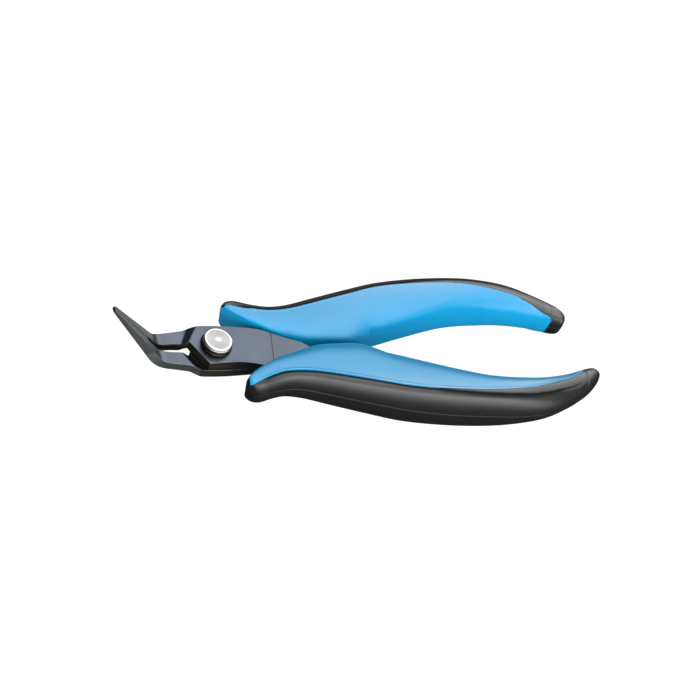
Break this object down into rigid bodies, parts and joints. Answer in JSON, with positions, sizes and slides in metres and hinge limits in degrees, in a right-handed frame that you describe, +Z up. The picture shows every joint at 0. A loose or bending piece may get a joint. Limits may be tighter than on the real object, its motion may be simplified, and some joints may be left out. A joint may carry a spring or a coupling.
{
  "type": "bent nose pliers",
  "caption": "Bent-nose gripping pliers for electronics: pressed steel arms crossing at a screw pivot, slim jaws bent upwards, and soft handles pushed open by a coil spring.",
  "frame": {"origin": "centre of the flat face of the pivot screw's head, on the pivot axis", "axes": "+X from the pivot towards the handles, +Y to the right handle (the one on the lower arm), +Z up the pivot axis out of the screw head, the way the jaws bend"},
  "size_m": [0.1466, 0.048, 0.027],
  "materials": {
    "arm_steel": "burnished dark, satin",
    "pivot_steel": "turned bright, fine rings",
    "washer_steel": "dark oxide",
    "blue_plastic": "smooth satin",
    "black_rubber": "satin",
    "spring_steel": "bright wire"
  },
  "bodies": {
    "lower_half": {"bottom_arm": "arm_steel", "right_core": "blue_plastic", "right_shell": "black_rubber", "pivot_screw": "pivot_steel", "head_washer": "washer_steel", "pivot_nut": "pivot_steel", "return_spring": "spring_steel"},
    "upper_half": {"top_arm": "arm_steel", "left_core": "blue_plastic", "left_shell": "black_rubber"}
  },
  "joints": [
    {"name": "pivot", "type": "hinge", "parent": "lower_half", "child": "upper_half", "pos_m": [0, 0, -0.0053], "axis": [0, 0, -1], "range_deg": [0, 16], "stiffness_Nm_per_rad": 0.9, "springref_deg": 18.91, "deforming": ["return_spring"]}
  ]
}
